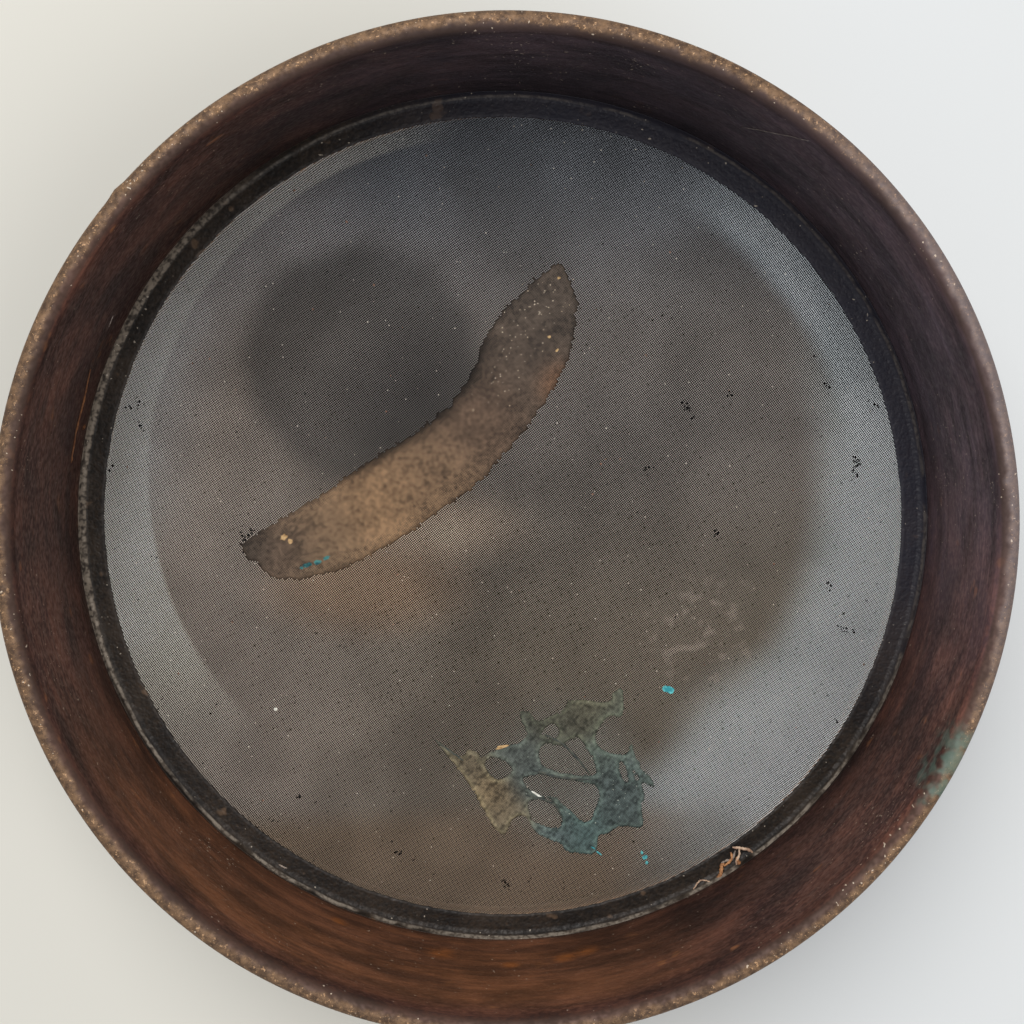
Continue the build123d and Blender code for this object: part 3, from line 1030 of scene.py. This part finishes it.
def makeFilm(size):
    top = lambda x, y, depth: clothTop + size["thick"] * (0.7 + 0.3 * rumple(x, y, (3 * mm, 8 * mm), 5))
    piece, x, y, depth = latticePatch("residueSkin", [smoothLoop(size["outline"])], 1.0, size["rough"], top,
                                      clothTop - 0.1 * mm, 0, 3)
    colors = zoneColors(x, y, srgb(*size["base"]), [(*zone[:3], srgb(*zone[3])) for zone in size["zones"]])
    band = np.exp(-(lineDistance(x, y, size["inner"]) / (2.7 * mm)) ** 2)[:, None]
    rim = np.exp(-(np.maximum(depth, 0) / (0.7 * mm)) ** 2)[:, None]
    colors[:, :3] *= (1 - 0.76 * band) * (1 - 0.4 * rim)
    keepColors(piece, "zone", colors)
    return piece


def depositMaterial(name, grain, roughness, weaveShare):
    # Vertex colour broken up by grains, with the weave showing faintly through
    material, tree, shader, spot = newMaterial(name, Roughness=roughness, Specular_IOR_Level=0.12)
    zone = place(tree, "ShaderNodeAttribute", attribute_name="zone").outputs["Color"]
    coarse = noise(tree, spot, 130.0, 4.0, 0.65)
    fine = noise(tree, spot, grain, 3.0, 0.75)
    along = stretch(tree, spot, (2 * math.pi / weave["warpPitch"],) * 3, math.radians(-weave["warpAngle"]))
    cell = axes(tree, along)
    holes = plus(tree, calc(tree, "COSINE", cell[0]), calc(tree, "COSINE", cell[1]))
    strength = plus(tree, ramp(tree, fine, 0.25, 0.75, 0.36, 1.2), ramp(tree, coarse, 0.3, 0.7, -0.14, 0.34))
    strength = plus(tree, strength, times(tree, holes, -weaveShare))
    lit = scaled(tree, zone, strength)
    tree.links.new(lit, shader.inputs["Base Color"])
    tree.links.new(bump(tree, fine, 0.12 * mm, 0.5), shader.inputs["Normal"])
    return material


residueSkin = makeFilm(film)
settle(residueSkin, depositMaterial("driedFilm", 900.0, 0.62, 0.2), "residue", "residue_film")
print("film:", len(residueSkin.data.polygons), "quads")


# Green crust

crust = {
    "outline": [(28.4, -40.9), (28.4, -47.2), (25.2, -47.6), (22.8, -50.0), (22.0, -53.6), (24.4, -56.1),
                (29.3, -56.9), (30.7, -54.1), (32.1, -58.6), (35.8, -63.3), (35.6, -64.7), (33.3, -63.9),
                (34.0, -67.5), (33.2, -69.2), (33.6, -74.1), (32.2, -74.9), (27.7, -74.5), (24.9, -76.3),
                (22.7, -76.9), (21.9, -81.2), (17.6, -81.0), (15.6, -80.9), (13.6, -78.9), (8.7, -76.8),
                (6.7, -74.8), (4.7, -71.9), (1.8, -72.7), (-0.2, -76.4), (-3.0, -74.3), (-4.6, -71.4),
                (-7.8, -65.7), (-11.0, -60.8), (-14.3, -56.7), (-16.7, -53.5), (-12.6, -56.3), (-10.6, -57.2),
                (-8.6, -55.8), (-6.6, -56.4), (-5.8, -58.0), (-3.4, -56.0), (1.4, -54.4), (3.4, -54.0),
                (5.0, -51.5), (3.4, -46.7), (5.8, -46.3), (7.1, -48.3), (9.1, -48.3), (13.9, -45.9),
                (15.5, -43.7), (19.5, -43.5), (23.6, -44.1), (25.6, -43.5), (26.0, -41.9)],
    "holes": [
        [(11.1, -49.2), (12.9, -50.4), (12.6, -52.4), (10.6, -52.9), (9.2, -51.2)],
        [(-5.0, -58.4), (-1.8, -57.6), (1.4, -59.7), (1.0, -61.7), (-1.4, -62.9), (-3.8, -61.7)],
        [(10.3, -54.0), (13.5, -54.8), (15.1, -53.6), (17.5, -52.6), (19.6, -54.9), (21.6, -58.9),
         (21.8, -61.8), (17.5, -62.0), (12.5, -61.0), (8.9, -59.2), (8.3, -55.6)],
        [(7.9, -61.7), (12.5, -62.4), (17.5, -63.4), (22.0, -64.6), (23.0, -67.5), (22.0, -69.9), (20.8, -72.8),
         (18.8, -73.4), (16.4, -71.1), (14.4, -69.5), (12.3, -67.4), (9.1, -67.0), (6.3, -65.8), (4.3, -62.9)],
        [(27.9, -58.6), (29.0, -59.3), (30.0, -62.9), (28.9, -63.4), (27.6, -60.4)],
        [(31.0, -60.4), (32.0, -61.6), (32.6, -63.2), (31.4, -62.9)],
        [(5.7, -68.4), (7.5, -67.8), (10.7, -67.6), (12.7, -69.9), (13.6, -71.9), (13.6, -74.4), (11.1, -74.8),
         (8.3, -74.0), (6.3, -72.7), (5.7, -70.3)]],
    "base": (74, 78, 71),
    "zones": [(-10, -60, 5, (98, 86, 68)), (-2, -71, 6, (98, 86, 68)), (-4, -66, 4, (115, 98, 73)),
              (3, -57, 5, (70, 74, 70)), (10, -48, 5, (72, 70, 59)), (20, -46, 6, (76, 72, 58)),
              (26, -50, 4, (76, 80, 70)), (24, -57, 4, (70, 78, 72)), (6, -64, 4, (66, 72, 70)),
              (28, -65, 6, (71, 80, 78)), (29, -72, 6, (67, 76, 74)), (20, -77, 6, (66, 82, 80)),
              (12, -77, 4, (80, 90, 89))],
}


def makeCrust(size):
    def top(x, y, depth):
        # Thin skin with curled edges and knobbly middle
        curl = np.exp(-((depth - 0.7 * mm) / (0.6 * mm)) ** 2)
        knobs = np.clip(rumple(x, y, (1.3 * mm, 2.6 * mm, 6 * mm), 8), -0.4, 1)
        return clothTop + (0.1 + 0.16 * curl + 0.11 * knobs) * mm
    loops = [smoothLoop(size["outline"], 4)] + [smoothLoop(hole, 4) for hole in size["holes"]]
    piece, x, y, depth = latticePatch("verdigrisSkin", loops, 0.8, 0.22 * mm, top,
                                      clothTop - 0.05 * mm, 0.25 * mm, 9)
    colors = zoneColors(x, y, srgb(*size["base"]), [(*zone[:3], srgb(*zone[3])) for zone in size["zones"]])
    # A painted highlight along the curled edges, and darker blotches
    rim = np.exp(-((depth - 0.5 * mm) / (0.5 * mm)) ** 2)[:, None]
    dark = np.clip(rumple(x, y, (1.1 * mm, 3.1 * mm), 14), 0, 1)[:, None]
    colors[:, :3] *= (1 + 0.5 * rim * np.array([[0.9, 1.0, 0.85]])) * (1 - 0.5 * dark)
    keepColors(piece, "zone", colors)
    return piece


verdigrisSkin = makeCrust(crust)
settle(verdigrisSkin, depositMaterial("greenCrust", 700.0, 0.7, 0.09), "verdigris", "verdigris_crust")
print("crust:", len(verdigrisSkin.data.polygons), "quads")


# Grains and fibres

loose = {
    "clogged": 520, "pale": 520, "rust": 60, "crumbs": 120, "specks": 90,
    # Dirt marks: place x and y, how many grains, how far they spread
    "marks": [(43.2, 27.6, 16, 1.3), (53.8, 29.8, 7, 0.8), (84.7, 13.5, 34, 1.7), (74.9, 39.5, 5, 0.7),
              (77.4, 32.8, 5, 0.6), (89.6, 27.7, 5, 0.6), (33.8, 12.7, 6, 0.7), (50.9, -3.4, 8, 0.9),
              (78.5, -16.3, 8, 0.9), (82.3, -26.6, 12, 1.2), (80.6, -48.6, 5, 0.6), (-88.6, 27.2, 9, 1.1),
              (-95.8, 15.3, 12, 1.4), (-87.5, 23.1, 6, 0.9), (-50.0, -67.0, 6, 0.7), (-26.1, -80.6, 9, 1.0),
              (33.1, -66.4, 12, 0.8), (-63.2, -4.6, 16, 1.6), (-61.0, -2.6, 8, 1.0), (0.2, -88.6, 9, 1.0)],
    # Chips: place x and y, length, width, turn in degrees, lowest and highest point
    "flakes": [(39.7, -41.1, 3.1, 1.9, -18, 16.95, 17.2), (38.6, -40.5, 1.3, 0.8, 40, 16.95, 17.2),
               (34.1, -82.3, 1.6, 1.1, 20, 16.95, 17.3), (33.3, -81.1, 1.1, 0.8, 80, 16.95, 17.2),
               (34.6, -83.6, 1.0, 0.9, 0, 16.95, 17.2), (22.9, -81.2, 2.2, 0.5, -38, 17.1, 17.38),
               (21.4, -79.8, 1.4, 0.4, -30, 17.1, 17.38)],
    "teal": [(-47.6, -10.6, 2.4, 1.2, 12, 17.03, 17.14), (-45.2, -9.9, 2.2, 1.3, 20, 17.03, 17.15),
             (-43.0, -8.9, 2.0, 1.1, 30, 17.03, 17.14), (-49.0, -11.3, 1.2, 0.8, 0, 17.03, 17.12)],
    # The first white chip is a painted highlight, a pale sliver on the edge of a hole in the crust
    "white": [(7.4, -66.4, 3.4, 0.55, -32, 17.1, 17.38), (-55.4, -45.5, 1.0, 0.9, 0, 16.95, 17.25),
              (58.3, -84.0, 1.0, 0.8, 30, 17.5, 18.0)],
    "tan": [(-0.8, -54.9, 3.4, 1.1, 14, 17.1, 17.3), (-53.2, -3.9, 2.0, 1.7, 20, 17.02, 17.14),
            (-51.7, -4.9, 1.5, 1.3, 60, 17.02, 17.14), (10.4, 44.1, 0.9, 0.7, 0, 17.02, 17.14),
            (12.3, 40.9, 1.0, 0.6, 50, 17.02, 17.14), (12.7, 58.1, 0.9, 0.8, 10, 17.02, 17.14)],
}


def scatter(name, x, y, width, rise, thick, seed):
    # Grains of the given widths and one thickness, their middles at a rise above the cloth's top
    places = np.stack([x, y, 0 * x + clothTop + rise], -1)
    return lumps(name, places, np.stack([width, width, 0 * width + thick], -1), seed)


def makeClogs():
    # Clogged apertures: dark grains snapped to the holes, and the larger dirt marks
    draw = np.random.default_rng(31)
    reach = int(viewR / weave["warpPitch"])
    i, j = draw.integers(-reach, reach, (2, loose["clogged"] * 2))
    x, y = weavePoint(i.astype(float), j.astype(float))
    keep = np.flatnonzero(np.hypot(x, y) < viewR - 0.6 * mm)[:loose["clogged"]]
    x, y = x[keep], y[keep]
    width = draw.uniform(0.22, 0.32, len(x)) * mm
    for cx, cy, count, spreadOut in loose["marks"]:
        lean = draw.uniform(0, math.pi)
        along, across = draw.normal(0, spreadOut, count) * mm, draw.normal(0, spreadOut * 0.35, count) * mm
        x = np.append(x, cx * mm + along * math.cos(lean) - across * math.sin(lean))
        y = np.append(y, cy * mm + along * math.sin(lean) + across * math.cos(lean))
        width = np.append(width, draw.uniform(0.22, 0.42, count) * mm)
    return scatter("cloggedHoles", x, y, width, -0.1 * mm, 0.09 * mm, 32)


def makeGrains(name, count, size, seed, reach):
    # Evenly strewn over a disc
    draw = np.random.default_rng(seed)
    radius = reach * np.sqrt(draw.uniform(0, 1, count))
    angle = draw.uniform(0, 2 * math.pi, count)
    width = draw.uniform(*size, count) * mm
    return scatter(name, radius * np.cos(angle), radius * np.sin(angle), width, -0.07 * mm, 0.09 * mm, seed + 1)


def makeCrumbs(draw):
    # Pale crumbs over the crust
    count = loose["crumbs"]
    x, y = draw.normal(20 * mm, 8 * mm, count), draw.normal(-66 * mm, 6 * mm, count)
    return scatter("crustCrumbs", x, y, draw.uniform(0.06, 0.17, count) * mm, 0.22 * mm, 0.1 * mm, 46)


def makeSpecks(draw):
    # Pale specks along the film's upper arm
    count = loose["specks"]
    share = draw.uniform(0, 1, count) ** 0.7
    x = (-4 + 15 * share) * mm + draw.normal(0, 3 * mm, count)
    y = (26 + 30 * share) * mm + draw.normal(0, 2.4 * mm, count)
    return scatter("filmSpecks", x, y, draw.uniform(0.06, 0.17, count) * mm, 0.07 * mm, 0.06 * mm, 47)


def plainMaterial(name, first, second, roughness, scale=900.0, shine=0.5):
    material, tree, shader, spot = newMaterial(name, Roughness=roughness, Specular_IOR_Level=shine)
    mix = ramp(tree, noise(tree, spot, scale, 2.0, 0.7), 0.35, 0.65)
    tree.links.new(blend(tree, mix, srgb(*first), srgb(*second)), shader.inputs["Base Color"])
    return material


clogs = makeClogs()
settle(clogs, plainMaterial("blackGrain", (5, 4, 4), (12, 10, 9), 0.9, shine=0.1), "residue")
pale = makeGrains("paleGrains", loose["pale"], (0.07, 0.2), 41, viewR - 1 * mm)
settle(pale, plainMaterial("paleGrain", (150, 142, 130), (206, 198, 184), 0.85, 300.0), "residue")
overDeposits = np.random.default_rng(45)
crumbs = makeCrumbs(overDeposits)
settle(crumbs, plainMaterial("crustCrumb", (104, 114, 106), (160, 164, 150), 0.8, 300.0), "verdigris")
specks = makeSpecks(overDeposits)
settle(specks, plainMaterial("filmSpeck", (164, 146, 120), (206, 192, 170), 0.8, 300.0), "residue")
rust = makeGrains("brownGrains", loose["rust"], (0.15, 0.34), 51, viewR - 2 * mm)
settle(rust, plainMaterial("brownGrain", (92, 66, 52), (126, 92, 74), 0.85), "residue")


# Fibres and wall marks: stops along each strand and its radius, all in millimetres

fibres = {
    "dark": [([(9.6, -51.9, 17.16), (13.9, -54.0, 17.2), (17.3, -57.6, 17.2), (20.6, -61.6, 17.18)], 0.3),
             ([(6.6, -60.6, 17.18), (10.1, -61.6, 17.2), (13.9, -62.6, 17.2), (20.6, -62.9, 17.18)], 0.3),
             ([(5.0, -66.8, 17.2), (8.9, -67.6, 17.25), (12.4, -69.2, 17.25), (13.9, -72.6, 17.2)], 0.26),
             ([(-16.9, -53.2, 17.1), (-13.4, -55.9, 17.15), (-10.2, -58.2, 17.2)], 0.26)],
    "grey": [([(56.1, -80.5, 17.9), (55.4, -82.9, 17.8), (53.9, -82.9, 17.9), (52.7, -83.7, 17.7)], 0.32),
             ([(57.1, -83.0, 17.8), (56.9, -84.4, 17.9), (57.6, -84.9, 17.8)], 0.34),
             ([(-54.9, -83.3, 17.6), (-53.9, -83.9, 17.65), (-52.9, -84.3, 17.6)], 0.22)],
    "pale": [([(55.4, -79.7, 17.8), (57.4, -79.8, 18.1), (59.5, -80.3, 18.0), (60.3, -81.0, 17.8)], 0.42),
             ([(56.9, -79.8, 17.9), (57.2, -81.4, 18.1), (56.3, -82.9, 18.0), (56.6, -84.6, 17.8)], 0.3),
             ([(59.3, -84.3, 17.7), (59.9, -85.4, 17.9), (58.6, -86.1, 18.0)], 0.26),
             ([(51.4, -87.6, 17.8), (50.0, -88.2, 18.0), (48.1, -87.6, 17.9), (47.1, -88.1, 18.0),
               (46.1, -89.8, 17.8), (45.0, -91.1, 17.7)], 0.2)],
    "orange": [([(53.4, -83.7, 17.8), (52.7, -83.9, 18.0), (52.7, -85.9, 18.1), (52.2, -86.9, 18.0),
                 (51.4, -87.6, 17.8)], 0.5),
               ([(56.3, -82.2, 17.8), (56.9, -83.4, 18.0), (57.6, -84.2, 18.1), (58.2, -84.6, 17.9)], 0.5),
               ([(55.0, -80.9, 17.8), (55.3, -82.4, 18.1), (54.3, -83.6, 18.0), (53.3, -84.3, 17.8)], 0.34)],
}
wallMarks = {
    "rust": [([(-95.2, 35.4, 30.0), (-97.45, 28.6, 27.3), (-99.15, 21.8, 27.7), (-100.1, 17.0, 27.4),
               (-100.65, 13.9, 27.3)], 0.26),
             ([(-99.0, 22.8, 21.7), (-99.1, 22.3, 22.3), (-99.15, 21.9, 22.8)], 0.5)],
    "scratch": [([(51.0, 87.85, 44.0), (54.9, 85.45, 50.9), (58.8, 82.8, 57.9), (61.5, 80.8, 62.8)], 0.1),
                ([(-91.2, 44.7, 29.6), (-90.4, 46.3, 30.2), (-89.7, 47.6, 30.7)], 0.14)],
}

# How each is made and finished: seed, material, its two tones, roughness and shine, and a slot name
finishes = [
    (chips, "turquoiseFlakes", loose["flakes"], 61,
     "turquoise", (44, 122, 130), (96, 172, 172), 0.8, 0.1, "verdigris"),
    (chips, "tealCrust", loose["teal"], 62, "teal", (28, 62, 66), (66, 112, 108), 0.7, 0.1, "verdigris"),
    (chips, "whiteBits", loose["white"], 63, "whiteBit", (186, 184, 172), (222, 220, 210), 0.8, 0.5, "residue"),
    (chips, "tanBits", loose["tan"], 64, "tanBit", (134, 106, 70), (178, 148, 106), 0.8, 0.1, "residue"),
    (strands, "crustStrands", fibres["dark"], 70,
     "darkStrand", (38, 44, 42), (70, 72, 62), 0.8, 0.5, "verdigris"),
    (strands, "greyTwigs", fibres["grey"], 71, "greyTwig", (92, 80, 72), (140, 126, 114), 0.85, 0.5, "residue"),
    (strands, "paleStrands", fibres["pale"], 72,
     "paleStrand", (150, 118, 96), (196, 168, 142), 0.8, 0.5, "residue"),
    (strands, "orangeRoot", fibres["orange"], 73,
     "orangeRoot", (128, 84, 50), (178, 126, 82), 0.8, 0.5, "residue"),
    (strands, "rustLine", wallMarks["rust"], 74,
     "rustLine", (80, 50, 34), (116, 78, 50), 0.8, 0.1, "shell_metal"),
    (strands, "paleScratch", wallMarks["scratch"], 75,
     "paleScratch", (92, 82, 78), (132, 122, 114), 0.7, 0.2, "shell_metal"),
]
for build, name, items, seed, finish, first, second, roughness, shine, slotName in finishes:
    settle(build(name, items, seed), plainMaterial(finish, first, second, roughness, shine=shine), slotName)
print("loose grains, flakes, fibres and wall marks done")

sizes = {"cad": cadBounds, "visual": [list(corner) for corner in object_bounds()]}
